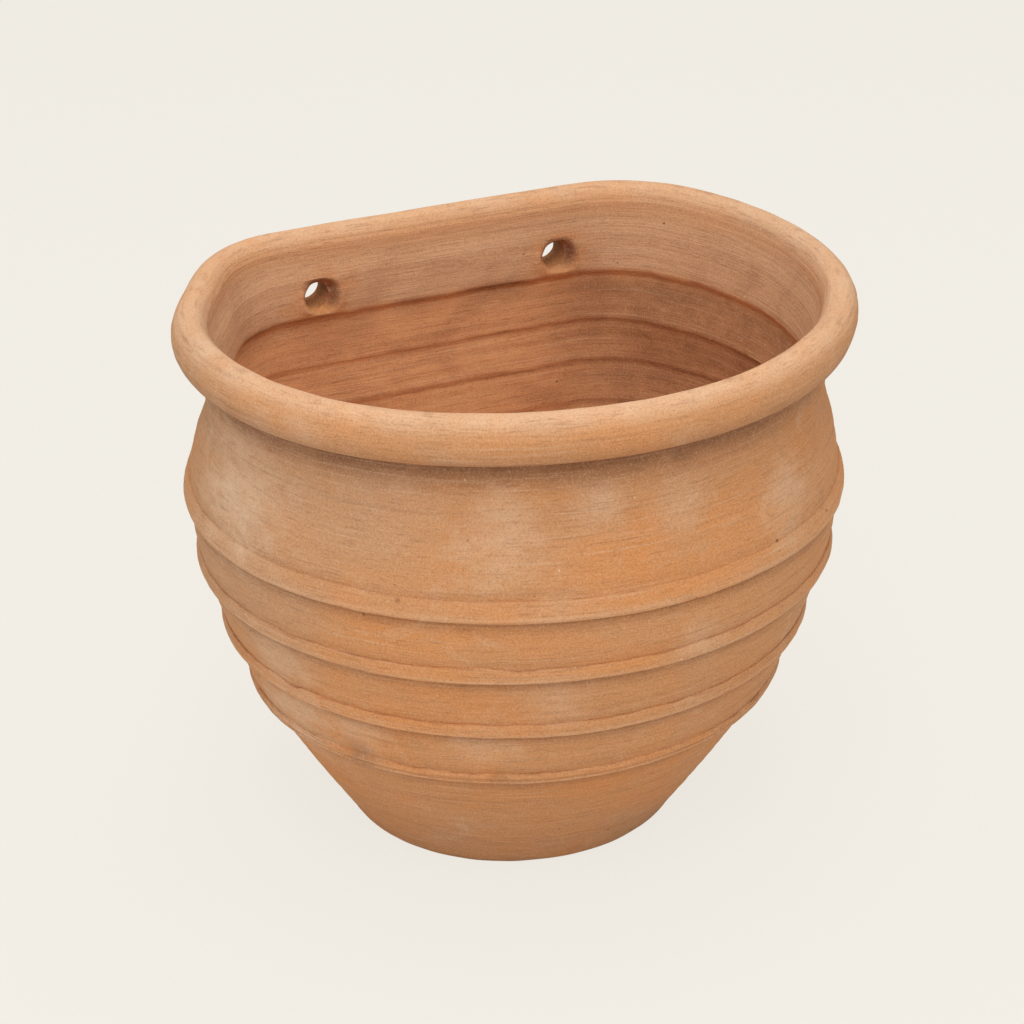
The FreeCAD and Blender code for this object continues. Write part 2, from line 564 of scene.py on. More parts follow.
@dataclass
class Terracotta:
    """Matte fired clay: warm body colour, throwing lines, pale bloom, dark flecks and pits, and the painted
    shade and painted highlights that the pieces store.
    """

    axis: tuple[float, float]
    spots: tuple[Spot, ...] = ()
    name: str = "terracotta"
    clay: tuple[float, float, float] = (0.605, 0.282, 0.118)
    warm: tuple[float, float, float] = (0.650, 0.270, 0.092)
    tan: tuple[float, float, float] = (0.545, 0.303, 0.162)
    # pale colour for bloom and dust, also laid on the crests as painted highlight
    pale_tint: tuple[float, float, float] = (0.720, 0.490, 0.320)
    neck: tuple[float, float, float] = (0.660, 0.395, 0.225)
    glow: tuple[float, float, float] = (0.860, 0.445, 0.210)
    brown: tuple[float, float, float] = (0.400, 0.175, 0.085)
    dark: tuple[float, float, float] = (0.230, 0.100, 0.048)
    chalk: tuple[float, float, float] = (0.860, 0.700, 0.520)
    roughness: float = 0.92
    specular: float = 0.18
    relief: float = 0.0007
    lines: Grain = Grain((7.0, 7.0, 261.905), 4.0, 0.62, 0.25)
    fine: Grain = Grain((16.0, 16.0, 1047.619), 2.0, 0.5, 0.1)
    dashes: Grain = Grain((75.0, 75.0, 1095.238), 2.0, 0.6, 0.2)
    grit: Grain = Grain((1050.0, 1050.0, 1050.0), 3.0, 0.7)
    cloud: Grain = Grain((13.0, 13.0, 21.0), 5.0, 0.6, 0.6)
    broad: Grain = Grain((5.0, 5.0, 8.0), 3.0, 0.5, 0.3)
    ragged: Grain = Grain((60.0, 60.0, 90.0), 6.0, 0.65, 0.8)
    dust: Grain = Grain((24.0, 24.0, 30.0), 7.0, 0.68, 0.9)
    pits: Flecks = Flecks(95.0, 0.085, 0.14)
    chips: Flecks = Flecks(130.0, 0.075, 0.10)
    warm_wash: Wash = Wash(0.40, 0.66, 1.0)
    tan_wash: Wash = Wash(0.42, 0.65, 0.75)
    brown_wash: Wash = Wash(0.50, 0.72, 0.42)
    line_wash: Wash = Wash(0.52, 0.76, 0.26)
    fine_wash: Wash = Wash(0.54, 0.76, 0.28)
    dash_wash: Wash = Wash(0.52, 0.72, 0.30)
    dark_grit: Wash = Wash(0.49, 0.72, 0.38)
    pale_grit: Wash = Wash(0.50, 0.72, 0.38)
    dust_wash: Wash = Wash(0.55, 0.76, 0.42)
    dust_inside: float = 0.6
    inner_glow: float = 0.75
    neck_glow: float = 0.75
    pale_wear: tuple[float, float] = (2.2, -0.35)
    # how unevenly the dark coat of grime spots and painted shade lies
    dirt_and_shade_wear: tuple[float, float] = (0.9, 0.3)
    pit_cover: float = 0.7
    chip_cover: float = 0.65
    mark_fray: float = 1.8
    mark_edge: float = 1.15
    depths: tuple[tuple[str, float], ...] = (
        ("lines", 0.50), ("fine", 0.26), ("dashes", 0.22), ("grit", 0.30), ("ragged", 0.35), ("pits", -0.8),
    )
    material: bpy.types.Material = field(init=False)
    tree: bpy.types.NodeTree = field(init=False)

    def __post_init__(self) -> None:
        """Makes the material's nodes."""
        self.material = bpy.data.materials.new(self.name)
        self.material.use_nodes = True
        self.tree = self.material.node_tree
        self.tree.nodes.clear()
        shift = self.node("ShaderNodeVectorMath")
        shift.operation = "SUBTRACT"
        shift.inputs[1].default_value = (*self.axis, 0.0)
        self.link(self.node("ShaderNodeTexCoord").outputs["Object"], shift.inputs[0])
        colour, height = self.body(shift.outputs["Vector"])
        shader = self.node("ShaderNodeBsdfPrincipled")
        shader.inputs["Specular IOR Level"].default_value = self.specular
        shader.inputs["Roughness"].default_value = self.roughness
        self.link(colour, shader.inputs["Base Color"])
        bump = self.node("ShaderNodeBump")
        bump.inputs["Strength"].default_value = 1.0
        bump.inputs["Distance"].default_value = self.relief
        self.link(height, bump.inputs["Height"])
        self.link(bump.outputs["Normal"], shader.inputs["Normal"])
        output = self.node("ShaderNodeOutputMaterial")
        self.link(shader.outputs["BSDF"], output.inputs["Surface"])

    def node(self, kind: str) -> bpy.types.Node:
        """Adds one node."""
        return self.tree.nodes.new(kind)

    def link(self, source: bpy.types.NodeSocket, target: bpy.types.NodeSocket) -> None:
        """Joins two sockets."""
        self.tree.links.new(source, target)

    def math(self, operation: str, a: object, b: object = 0.0,
             clamp: bool = False) -> bpy.types.NodeSocket:
        """One sum on two sockets or numbers.

        Args:
            operation: Name of the sum.
            a: First socket or number.
            b: Second socket or number.
            clamp: Whether the result is kept from 0 to 1.

        Returns:
            The result's socket.
        """
        node = self.node("ShaderNodeMath")
        node.operation = operation
        node.use_clamp = clamp
        for value, socket in zip((a, b), node.inputs):
            if isinstance(value, bpy.types.NodeSocket):
                self.link(value, socket)
            else:
                socket.default_value = value
        return node.outputs[0]

    def grain(self, place: bpy.types.NodeSocket, kind: Grain) -> bpy.types.NodeSocket:
        """Noise, drawn out where its scales differ.

        Args:
            place: Where the surface is.
            kind: The noise's sizes.

        Returns:
            A value from 0 to 1.
        """
        mapping = self.node("ShaderNodeMapping")
        mapping.inputs["Scale"].default_value = kind.scale
        self.link(place, mapping.inputs["Vector"])
        texture = self.node("ShaderNodeTexNoise")
        texture.inputs["Scale"].default_value = 1.0
        texture.inputs["Detail"].default_value = kind.detail
        texture.inputs["Roughness"].default_value = kind.rough
        texture.inputs["Distortion"].default_value = kind.warp
        self.link(mapping.outputs["Vector"], texture.inputs["Vector"])
        return texture.outputs["Fac"]

    def step(self, value: bpy.types.NodeSocket, low: float, high: float) -> bpy.types.NodeSocket:
        """Rises from 0 at low to 1 at high with a smooth turn at both ends.

        Args:
            value: What to judge.
            low: Where the rise starts.
            high: Where the rise ends.

        Returns:
            The share's socket.
        """
        node = self.node("ShaderNodeMapRange")
        node.interpolation_type = "SMOOTHSTEP"
        node.inputs["From Min"].default_value = low
        node.inputs["From Max"].default_value = high
        self.link(value, node.inputs["Value"])
        return node.outputs["Result"]

    def mix(self, share: bpy.types.NodeSocket, under: object, over: object) -> bpy.types.NodeSocket:
        """Lays one colour over another.

        Args:
            share: How much of the second colour shows.
            under: First colour, a socket or three numbers.
            over: Second colour, a socket or three numbers.

        Returns:
            The mixed colour.
        """
        node = self.node("ShaderNodeMix")
        node.data_type = "RGBA"
        self.link(share, node.inputs["Factor"])
        for value, socket in ((under, node.inputs[6]), (over, node.inputs[7])):
            if isinstance(value, bpy.types.NodeSocket):
                self.link(value, socket)
            else:
                socket.default_value = (*value, 1.0)
        return node.outputs[2]

    def value(self, name: str) -> bpy.types.NodeSocket:
        """Reads a number stored on the mesh.

        Args:
            name: The number's name.

        Returns:
            Its socket, 0 where a piece has none.
        """
        node = self.node("ShaderNodeAttribute")
        node.attribute_name = name
        return node.outputs["Fac"]

    def scatter(self, place: bpy.types.NodeSocket, kind: Flecks) -> bpy.types.NodeSocket:
        """Small scattered specks.

        Args:
            place: Where the surface is.
            kind: The specks' sizes.

        Returns:
            1 in a speck and 0 outside.
        """
        cells = self.node("ShaderNodeTexVoronoi")
        cells.inputs["Scale"].default_value = kind.per_metre
        self.link(place, cells.inputs["Vector"])
        edge = self.step(cells.outputs["Distance"], kind.size * kind.core, kind.size)
        pick = self.node("ShaderNodeSeparateColor")
        self.link(cells.outputs["Color"], pick.inputs["Color"])
        chosen = self.math("LESS_THAN", pick.outputs[0], kind.share)
        return self.math("MULTIPLY", self.rest(edge), chosen)

    def marked(self, place: bpy.types.NodeSocket, ragged: bpy.types.NodeSocket, tint: Tint) -> object:
        """Share of the surface that the marks of one tint cover.

        Args:
            place: Where the surface is.
            ragged: Noise that frays the marks' edges.
            tint: Which marks to lay.

        Returns:
            A socket, or 0 where there are none.
        """
        cover: object = 0.0
        for spot in self.spots:
            if spot.tint is not tint:
                continue
            away = self.node("ShaderNodeVectorMath")
            away.operation = "DISTANCE"
            away.inputs[1].default_value = spot.at
            self.link(place, away.inputs[0])
            fray = self.math("MULTIPLY", self.math("SUBTRACT", ragged, 0.5), spot.size * self.mark_fray)
            edge = self.math("ADD", away.outputs["Value"], fray)
            inside = self.rest(self.step(edge, 0.0, spot.size * self.mark_edge))
            cover = self.math("MAXIMUM", cover, self.math("MULTIPLY", inside, spot.strength))
        return cover

    def rest(self, share: object) -> bpy.types.NodeSocket:
        """What is left of 1 beside a share."""
        return self.math("SUBTRACT", 1.0, share)

    def shade(self, colour: object, share: object, over: object, most: object = 1.0) -> bpy.types.NodeSocket:
        """Lays a colour over another where a share says, up to the most that it may hide."""
        return self.mix(self.math("MULTIPLY", share, most, True), colour, over)

    def coat(self, colour: object, pattern: object, over: object, wash: Wash) -> bpy.types.NodeSocket:
        """Lays a thin coat over a colour, where the coat's pattern is strong."""
        return self.shade(colour, self.step(pattern, wash.low, wash.high), over, wash.most)

    def worn(self, pattern: object, wear: tuple[float, float]) -> bpy.types.NodeSocket:
        """How much is left of a layer that has worn off unevenly."""
        return self.math("ADD", self.math("MULTIPLY", pattern, wear[0]), wear[1])

    def body(self, place: bpy.types.NodeSocket) -> tuple[bpy.types.NodeSocket, bpy.types.NodeSocket]:
        """Colour and height of the clay's surface.

        Args:
            place: Where the surface is, about the throwing axis.

        Returns:
            The colour's socket and the height's socket.
        """
        lines, fine, dashes, grit = (
            self.grain(place, kind) for kind in (self.lines, self.fine, self.dashes, self.grit))
        cloud, broad, ragged, dust = (
            self.grain(place, kind) for kind in (self.cloud, self.broad, self.ragged, self.dust))
        pits, chips = self.scatter(place, self.pits), self.scatter(place, self.chips)
        inner, neck, shade_and_darkening, dust_and_highlight = (self.value(name) for name in ("inner", "neck", "shade_and_darkening", "dust_and_highlight"))

        colour = self.coat(self.clay, cloud, self.warm, self.warm_wash)
        colour = self.coat(colour, broad, self.tan, self.tan_wash)
        colour = self.shade(colour, inner, self.glow, self.inner_glow)
        colour = self.shade(colour, neck, self.neck, self.neck_glow)
        blotch = self.math("MULTIPLY", inner, self.step(cloud, self.brown_wash.low, self.brown_wash.high))
        colour = self.shade(colour, blotch, self.brown, self.brown_wash.most)
        colour = self.shade(colour, self.marked(place, ragged, Tint.WARM), self.warm)

        # pale coat: bloom spots, and pale dust with painted highlight along the crests of the roll and the
        # bands
        pale = self.math("MAXIMUM", self.marked(place, ragged, Tint.BLOOM), dust_and_highlight)
        pale = self.math("MULTIPLY", pale, self.worn(dust, self.pale_wear))
        outer = self.rest(self.math("MULTIPLY", inner, self.dust_inside))
        settled = self.math("MULTIPLY", self.step(dust, self.dust_wash.low, self.dust_wash.high), outer)
        pale = self.math("MAXIMUM", pale, self.math("MULTIPLY", settled, self.dust_wash.most))
        colour = self.shade(colour, pale, self.pale_tint)
        # dark coat: brown grime spots, and the painted shade and other darkening that the pieces store
        dirt_and_shade = self.math("MAXIMUM", self.marked(place, ragged, Tint.DIRT), shade_and_darkening)
        colour = self.shade(colour, dirt_and_shade, self.dark, self.worn(ragged, self.dirt_and_shade_wear))

        colour = self.coat(colour, lines, self.dark, self.line_wash)
        colour = self.coat(colour, fine, self.pale_tint, self.fine_wash)
        colour = self.coat(colour, dashes, self.dark, self.dash_wash)
        colour = self.coat(colour, grit, self.dark, self.dark_grit)
        colour = self.coat(colour, self.rest(grit), self.pale_tint, self.pale_grit)
        colour = self.shade(colour, pits, self.dark, self.pit_cover)
        colour = self.shade(colour, chips, self.chalk, self.chip_cover)

        parts = {"lines": lines, "fine": fine, "dashes": dashes, "grit": grit, "ragged": ragged, "pits": pits}
        height: object = 0.0
        for name, depth in self.depths:
            height = self.math("ADD", height, self.math("MULTIPLY", parts[name], depth))
        return colour, height


# ---- Clay members -----------------------------------------------------------------------------


@dataclass
class ClayMember:
    """A member of the pot: what every one of them shares."""

    form: ThrownForm
    wheel: Wheel
    finish: Terracotta

    def dress(self, obj: bpy.types.Object, *nodes: str) -> bpy.types.Object:
        """Gives a piece its material and its place in the assembly.

        Args:
            obj: The finished piece.
            nodes: CAD nodes that it stands for.

        Returns:
            The same piece.
        """
        obj.data.materials.clear()
        obj.data.materials.append(self.finish.material)
        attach(obj, BODY)
        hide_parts(*nodes)
        return obj

    def throw(self, name: str, plans: list[Plan],
              steps: int = 0) -> tuple[bpy.types.Object, np.ndarray, np.ndarray]:
        """Spins a section and presses it to its plans, still about the throwing axis.

        Args:
            name: Name of the new piece.
            plans: Plan of each section point, in order.
            steps: Stops in one turn, or 0 for the wheel's own.

        Returns:
            The piece, each point's section index and each point's direction.
        """
        section = [(plan.radius, plan.height) for plan in plans]
        obj = self.wheel.spin(name, section, steps or self.wheel.steps)
        index, angle = self.wheel.follow(obj, section)
        write_points(obj, self.form.pressed(plans, index, angle))
        return obj, index, angle


@dataclass
class Wall(ClayMember):
    """Thrown wall: bare outside, ringed inside, undercut under the throat, pierced behind."""

    # Section: its edges, and how close its points lie
    foot_edge: tuple[tuple[float, float], ...] = ((-0.0016, 0.0), (-0.0004, 0.0005), (0.0006, 0.0015))
    outer_start: float = 0.003
    outer_step: float = 0.0024
    neck_step: float = 0.0022
    lip_start: float = 0.12
    lip_stops: int = 8
    fall_stops: int = 14
    ring_gap: float = 0.0007
    ring_step: float = 0.0017
    ring_edge: float = 0.08
    ring_slope: float = 0.8
    turn_start: float = 0.15
    turn_stops: int = 9
    seat: tuple[tuple[float, float], ...] = ((0.1562, 0.35), (0.1540, 0.70))
    bed_radii: tuple[float, float, float] = (0.0800, 0.0845, 0.0820)
    bed_drop: float = 0.001
    # Unevenness of the faces, and of the throat and rings inside
    ripples: tuple[Ripple, ...] = (
        Ripple(0.00012, 0.00016, 0.0072, 1.0, 0.45), Ripple(0.00005, 0.00009, 0.0031, -1.0, 0.80),
    )
    slow: Lumps = Lumps(22.0, 3.0)
    lumps: Lumps = Lumps(75.0, 8.0)
    worked: Lumps = Lumps(17.0, 12.0, 1.4)
    worked_mean: float = 0.5
    outer_lumps: float = 0.00018
    inner_slow: float = 0.0004
    inner_lumps: float = 0.00022
    neck_share: float = 0.35
    seat_fade: float = 0.006
    wander_wavers: tuple[Waver, ...] = (Waver(3.0, 4.0, 0.0011), Waver(16.0, 15.0, 0.0007))
    wander_low: tuple[float, float] = (0.035, 0.060)
    wander_high: tuple[float, float] = (0.246, 0.256)
    # Hanging holes and the funnels pressed round them
    hang_radius: float = 0.0073
    hang_waver: Waver = Waver(1.6, 1.0, 0.07)
    hang_seed: int = 5
    drill_sides: int = 56
    drill_length: float = 0.08
    funnel_radius: float = 0.0116
    funnel_depth: float = 0.0046
    funnel_shift: tuple[float, float] = (0.0016, -0.0012)
    funnel_core: float = 0.8
    funnel_rough: Lumps = Lumps(230.0, 21.0)
    funnel_lumps: Lumps = Lumps(90.0, 33.0, 0.2)
    funnel_tear: float = 0.4
    burr: Streak = Streak(0.00058, 0.0022, 0.0005)
    back_faces: tuple[float, float] = (0.010, 0.030)
    over_throat: tuple[float, float] = (-0.001, 0.003)
    fine_reach: float = 0.019
    fine_cuts: int = 3
    # Painted shade: patchy lines under the throat and rings inside, the right, the craters' upper right,
    # under the roll and bands outside; darker above the bands and along the foot
    shake: Waver = Waver(14.0, 2.0, 0.0009)
    patches: Waver = Waver(5.0, 9.0, 1.1)
    patch_mean: float = 0.60
    patch_range: tuple[float, float] = (0.05, 1.3)
    # painted shade under the throat's undercut: a crisp line, softer on the right, and a wide one
    throat_streaks: tuple[Streak, Streak] = (Streak(-0.0016, 0.0018, 0.55), Streak(-0.005, 0.006, 0.42))
    throat_softer: tuple[float, float, float] = (0.6, 0.06, 0.09)
    # painted shade just under each inner ring, and a fainter line lower in the ring
    ring_streaks: tuple[Streak, ...] = (Streak(-0.0012, 0.0009, 0.40), Streak(-0.0100, 0.0012, 0.20))
    # painted shade on the inside towards the right, below the throat
    right_shade: float = 0.85
    right_across: tuple[float, float] = (0.045, 0.125)
    right_up: tuple[float, float] = (0.236, 0.247)
    neck_up: tuple[float, float] = (0.247, 0.250)
    neck_edge: tuple[float, float] = (-0.004, 0.003)
    # painted shadow in the upper right of each funnel round a hanging hole
    crater: Streak = Streak(0.0095, 0.0030, 1.1)
    crater_turn: tuple[float, float] = (-0.006, 0.006)
    # painted shade under the roll: strength, and the heights over which it rises
    roll_shades: tuple[tuple[float, float, float], ...] = ((0.95, 0.246, 0.266), (0.18, 0.222, 0.258))
    # darker along the bottom of the foot
    foot_darkening: float = 0.26
    foot_up: tuple[float, float] = (0.0005, 0.004)
    # painted shadow under each band's lower edge; a faint darker line above its upper edge
    under_band: tuple[Streak, ...] = (Streak(-0.0007, 0.0012, 0.50), Streak(-0.003, 0.0035, 0.42))
    over_band: Streak = Streak(0.0020, 0.0028, 0.16)
    band_ends: tuple[float, float] = (0.0060, 0.0012)

    def rings(self) -> list[Plan]:
        """Inner face from the hollow under the throat down to the floor's corner.

        Returns:
            Its plans from the top down.
        """
        form = self.form
        top = form.inside(form.top_ring_z)
        under = form.mouth(form.throat_z - form.undercut_drop, form.undercut)
        lip = [form.mouth(form.throat_z - form.undercut_drop * t, form.undercut * ease(t, 0.0, 1.0))
               for t in np.linspace(self.lip_start, 1.0, self.lip_stops)]
        fall = [between(under, top, t) for t in np.linspace(0.0, 1.0, self.fall_stops)[1:]]
        low = form.top_ring_z - form.ring_pitch * form.ring_count
        plans = []
        for z in spaced(form.top_ring_z - self.ring_gap, form.floor + form.floor_corner, self.ring_step):
            t = (form.top_ring_z - z) / form.ring_pitch % 1.0
            depth = form.ring_depth * min(1.0, t / self.ring_edge) * (1.0 - t) ** self.ring_slope
            plans.append(form.inside(z, depth if z > low else 0.0))
        return lip + fall + plans

    def plans(self) -> list[Plan]:
        """Section of the wall, up the outside and down the inside.

        Returns:
            The plan of each of its points, in order.
        """
        form = self.form
        foot, middle = form.outer_radius(0.0), form.centre(0.0)

        def level(radius: float, z: float) -> Plan:
            """Round level plan at the foot."""
            return Plan(radius, form.back, form.corner, middle, z)

        edge = [level(foot + out, z) for out, z in self.foot_edge]
        outer = [form.outside(z) for z in spaced(self.outer_start, form.wall_top, self.outer_step)]
        seat_y = form.half_wide + form.seat_back
        top = [Plan(r, form.back - seat_y * t, form.corner, 0.0, form.wall_top) for r, t in self.seat]
        neck = [form.mouth(z) for z in spaced(form.wall_top, form.throat_z, self.neck_step)]
        corner = form.floor_corner
        turn = [form.inside(form.floor + corner * (1 - math.sin(a)), -corner * (1 - math.cos(a)))
                for a in np.linspace(self.turn_start, math.pi / 2, self.turn_stops)]
        bed = [level(r, z) for r, z in zip(self.bed_radii, (form.floor, form.floor - self.bed_drop, 0.0))]
        return edge + outer + top + neck + self.rings() + turn + bed

    def relief(self, points: np.ndarray, angle: np.ndarray, inner: np.ndarray) -> np.ndarray:
        """Unevenness of the wall along its own outward direction.

        Args:
            points: Points about the throwing axis.
            angle: Direction of each point.
            inner: 1 on the inner face, 0 on the outer.

        Returns:
            Shift of each point, never outward on the outer face.
        """
        form = self.form
        z = points[:, 2]
        slow = self.slow.at(points)
        lump = self.lumps.at(points)
        waves = [(line, line.at(z, angle / (2 * math.pi), slow)) for line in self.ripples]
        outside = self.outer_lumps * (lump - 1.0) + sum(line.outer * (wave - 1.0) for line, wave in waves)
        worked = np.clip(self.worked_mean + self.worked.at(points), 0.0, 1.0)
        inside = worked * sum(line.inner * wave for line, wave in waves)
        inside += self.inner_slow * slow + self.inner_lumps * lump
        inside *= np.where(z > form.throat_z, self.neck_share, 1.0)
        inside *= fade(z, form.wall_top - self.seat_fade, form.wall_top)
        return np.where(inner > 0.5, inside, outside)

    def wander(self, points: np.ndarray, angle: np.ndarray, inner: np.ndarray) -> np.ndarray:
        """How far the throat and the rings inside run up and down, as drawn by hand.

        Args:
            points: Points about the throwing axis.
            angle: Direction of each point.
            inner: 1 on the inner face, 0 on the outer.

        Returns:
            Rise of each point.
        """
        waves = sum(waver.at(angle) for waver in self.wander_wavers)
        free = ease(points[:, 2], *self.wander_low) * fade(points[:, 2], *self.wander_high)
        return np.where(inner > 0.5, waves * free, 0.0)

    def piercings(self) -> list[Vector]:
        """Middles of the two hanging holes.

        Returns:
            Their places at the flat back, in the frame, from left to right.
        """
        x, y = self.wheel.axis
        form = self.form
        return [Vector((x + form.hang_offset + side * form.hang_spacing / 2, y + form.back, form.hang_height))
                for side in (-1, 1)]

    def refine(self, obj: bpy.types.Object) -> None:
        """Gives the clay round the holes finer faces.

        Args:
            obj: The wall, in its place.
        """
        only(obj)
        count = len(obj.data.polygons)
        middle = np.empty(count * 3)
        obj.data.polygons.foreach_get("center", middle)
        middle = middle.reshape(-1, 3)
        near = np.zeros(count, bool)
        for hole in self.piercings():
            away = np.hypot(middle[:, 0] - hole.x, middle[:, 2] - hole.z)
            near |= (away < self.fine_reach) & (middle[:, 1] > hole.y - self.back_faces[1])
        bpy.ops.object.mode_set(mode="EDIT")
        bpy.ops.mesh.select_all(action="DESELECT")
        bpy.ops.object.mode_set(mode="OBJECT")
        obj.data.polygons.foreach_set("select", near)
        bpy.ops.object.mode_set(mode="EDIT")
        bpy.ops.mesh.select_mode(type="FACE")
        bpy.ops.mesh.subdivide(number_cuts=self.fine_cuts)
        bpy.ops.object.mode_set(mode="OBJECT")

    def press_funnels(self, obj: bpy.types.Object) -> None:
        """Presses the funnels round the hanging holes into the inner face.

        Args:
            obj: The wall, in its place.
        """
        points = read_points(obj)
        rough = self.funnel_rough.at(points)
        coarse = self.funnel_lumps.at(points)
        near, far = self.back_faces
        throat = self.form.throat_z
        above = ease(points[:, 2], throat + self.over_throat[0], throat + self.over_throat[1])
        for hole in self.piercings():
            dx = points[:, 0] - hole.x - self.funnel_shift[0]
            dz = points[:, 2] - hole.z - self.funnel_shift[1]
            away = np.hypot(dx, dz) * (1.0 + coarse)
            facing = (points[:, 1] > hole.y - far) & (points[:, 1] < hole.y - near)
            fall = fade(away, self.hang_radius * self.funnel_core, self.funnel_radius)
            push = self.funnel_depth * fall * (1.0 + self.funnel_tear * rough)
            push -= self.burr.at(away, self.funnel_radius) * (1.0 + rough)
            points[:, 1] += np.where(facing, push * above, 0.0)
        write_points(obj, points)

    def pierce(self, obj: bpy.types.Object) -> None:
        """Drives the hanging holes through, each a little out of round.

        Args:
            obj: The wall, in its place.
        """
        for number, hole in enumerate(self.piercings(), start=self.hang_seed):
            bpy.ops.mesh.primitive_cylinder_add(vertices=self.drill_sides, radius=self.hang_radius,
                                                depth=self.drill_length, location=hole,
                                                rotation=(math.pi / 2, 0, 0))
            drill = bpy.context.object
            bpy.ops.object.transform_apply(location=True, rotation=True, scale=True)
            shape = read_points(drill)
            around = np.arctan2(shape[:, 2] - hole.z, shape[:, 0] - hole.x)
            bend = 1.0 + self.hang_waver.at(around, number)
            shape[:, 0] = hole.x + (shape[:, 0] - hole.x) * bend
            shape[:, 2] = hole.z + (shape[:, 2] - hole.z) * bend
            write_points(drill, shape)
            only(obj)
            bpy.ops.object.modifier_add(type="BOOLEAN")
            cut = obj.modifiers[-1]
            cut.operation = "DIFFERENCE"
            cut.solver = "EXACT"
            cut.object = drill
            bpy.ops.object.modifier_apply(modifier=cut.name)
            bpy.data.objects.remove(drill, do_unlink=True)

    def inner_painted_shade(self, points: np.ndarray, z: np.ndarray, angle: np.ndarray) -> np.ndarray:
        """Painted shade under the throat and the rings, in the upper right of each funnel and on the right.

        Args:
            points: Points about the throwing axis.
            z: Their heights, shaken a little.
            angle: Direction of each point.

        Returns:
            A share for each point.
        """
        form = self.form
        patchy = np.clip(self.patch_mean + self.patches.at(angle), *self.patch_range)
        softer, start, full = self.throat_softer
        crisp, wide = self.throat_streaks
        # painted shade under the throat's undercut, patchy round the pot
        shade = patchy * (1.0 - softer * ease(points[:, 0], start, full)) * crisp.at(z, form.throat_z)
        shade += patchy * wide.at(z, form.throat_z)
        # painted shade under each inner ring
        for i in range(form.ring_count):
            ring = form.top_ring_z - form.ring_pitch * i
            shade += patchy * sum(streak.at(z, ring) for streak in self.ring_streaks)
        # painted shade on the inside towards the right, below the throat
        shade += self.right_shade * ease(points[:, 0], *self.right_across) * fade(z, *self.right_up)
        # painted shade on the neck's inside towards the right
        shade += NECK_SHADE * ease(points[:, 0], *RIGHT_NECK) * ease(z, *self.neck_up)
        # painted shadow in the upper right of each funnel
        for side in (-1, 1):
            dx = points[:, 0] - form.hang_offset - side * form.hang_spacing / 2
            dz = points[:, 2] - form.hang_height
            ring = self.crater.at(np.hypot(dx, dz), 0.0)
            shade += ring * ease(dx + dz, *self.crater_turn) * (points[:, 1] > 0.0)
        return shade

    def outer_shading_and_darkening(self, points: np.ndarray, z: np.ndarray) -> np.ndarray:
        """Painted shade under the roll and the bands; darker just above each band and along the foot.

        Args:
            points: Points about the throwing axis.
            z: Their heights, shaken a little.

        Returns:
            A share for each point.
        """
        form = self.form
        # painted shade under the roll, strongest just below it
        shade = sum(strength * ease(z, low, high) for strength, low, high in self.roll_shades)
        shade += self.foot_darkening * fade(z, *self.foot_up)
        beside = np.zeros(len(z))
        # painted shadow under each band, and darker just above it
        for low, height in form.bands:
            beside += sum(streak.at(z, low) for streak in self.under_band)
            beside += self.over_band.at(z, low + height)
        start, end = (form.back - short for short in self.band_ends)
        return shade + beside * fade(points[:, 1], start, end)

    def shading_and_darkening(self, points: np.ndarray, inner: np.ndarray) -> np.ndarray:
        """Where the wall is darkened: painted shade inside and out, and a little other darkening outside.

        Args:
            points: Points about the throwing axis.
            inner: 1 on the inner face, 0 on the outer.

        Returns:
            A share for each point.
        """
        angle = np.arctan2(points[:, 1], points[:, 0])
        z = points[:, 2] + self.shake.at(angle)
        return np.where(inner > 0.5, self.inner_painted_shade(points, z, angle), self.outer_shading_and_darkening(points, z))

    def build(self) -> bpy.types.Object:
        """Throws, presses and pierces the wall.

        Returns:
            The wall.
        """
        plans = self.plans()
        obj, index, angle = self.throw("clay_wall", plans)
        inner = np.array([plan.skin.value for plan in plans])[index]
        write_value(obj, "inner", inner)
        points = read_points(obj)
        points += point_normals(obj) * self.relief(points, angle, inner)[:, None]
        points[:, 2] += self.wander(points, angle, inner)
        write_points(obj, self.wheel.place(points))
        self.refine(obj)
        self.press_funnels(obj)
        self.pierce(obj)
        stored = np.empty(len(obj.data.vertices), np.float32)
        obj.data.attributes["inner"].data.foreach_get("value", stored)
        points = read_points(obj) - self.wheel.place(np.zeros(3))
        # store the painted shade and other darkening for the material
        write_value(obj, "shade_and_darkening", self.shading_and_darkening(points, stored))
        low, high = (self.form.throat_z + apart for apart in self.neck_edge)
        write_value(obj, "neck", stored * ease(points[:, 2], low, high))
        self.wheel.finish(obj)
        return self.dress(obj, "wall")


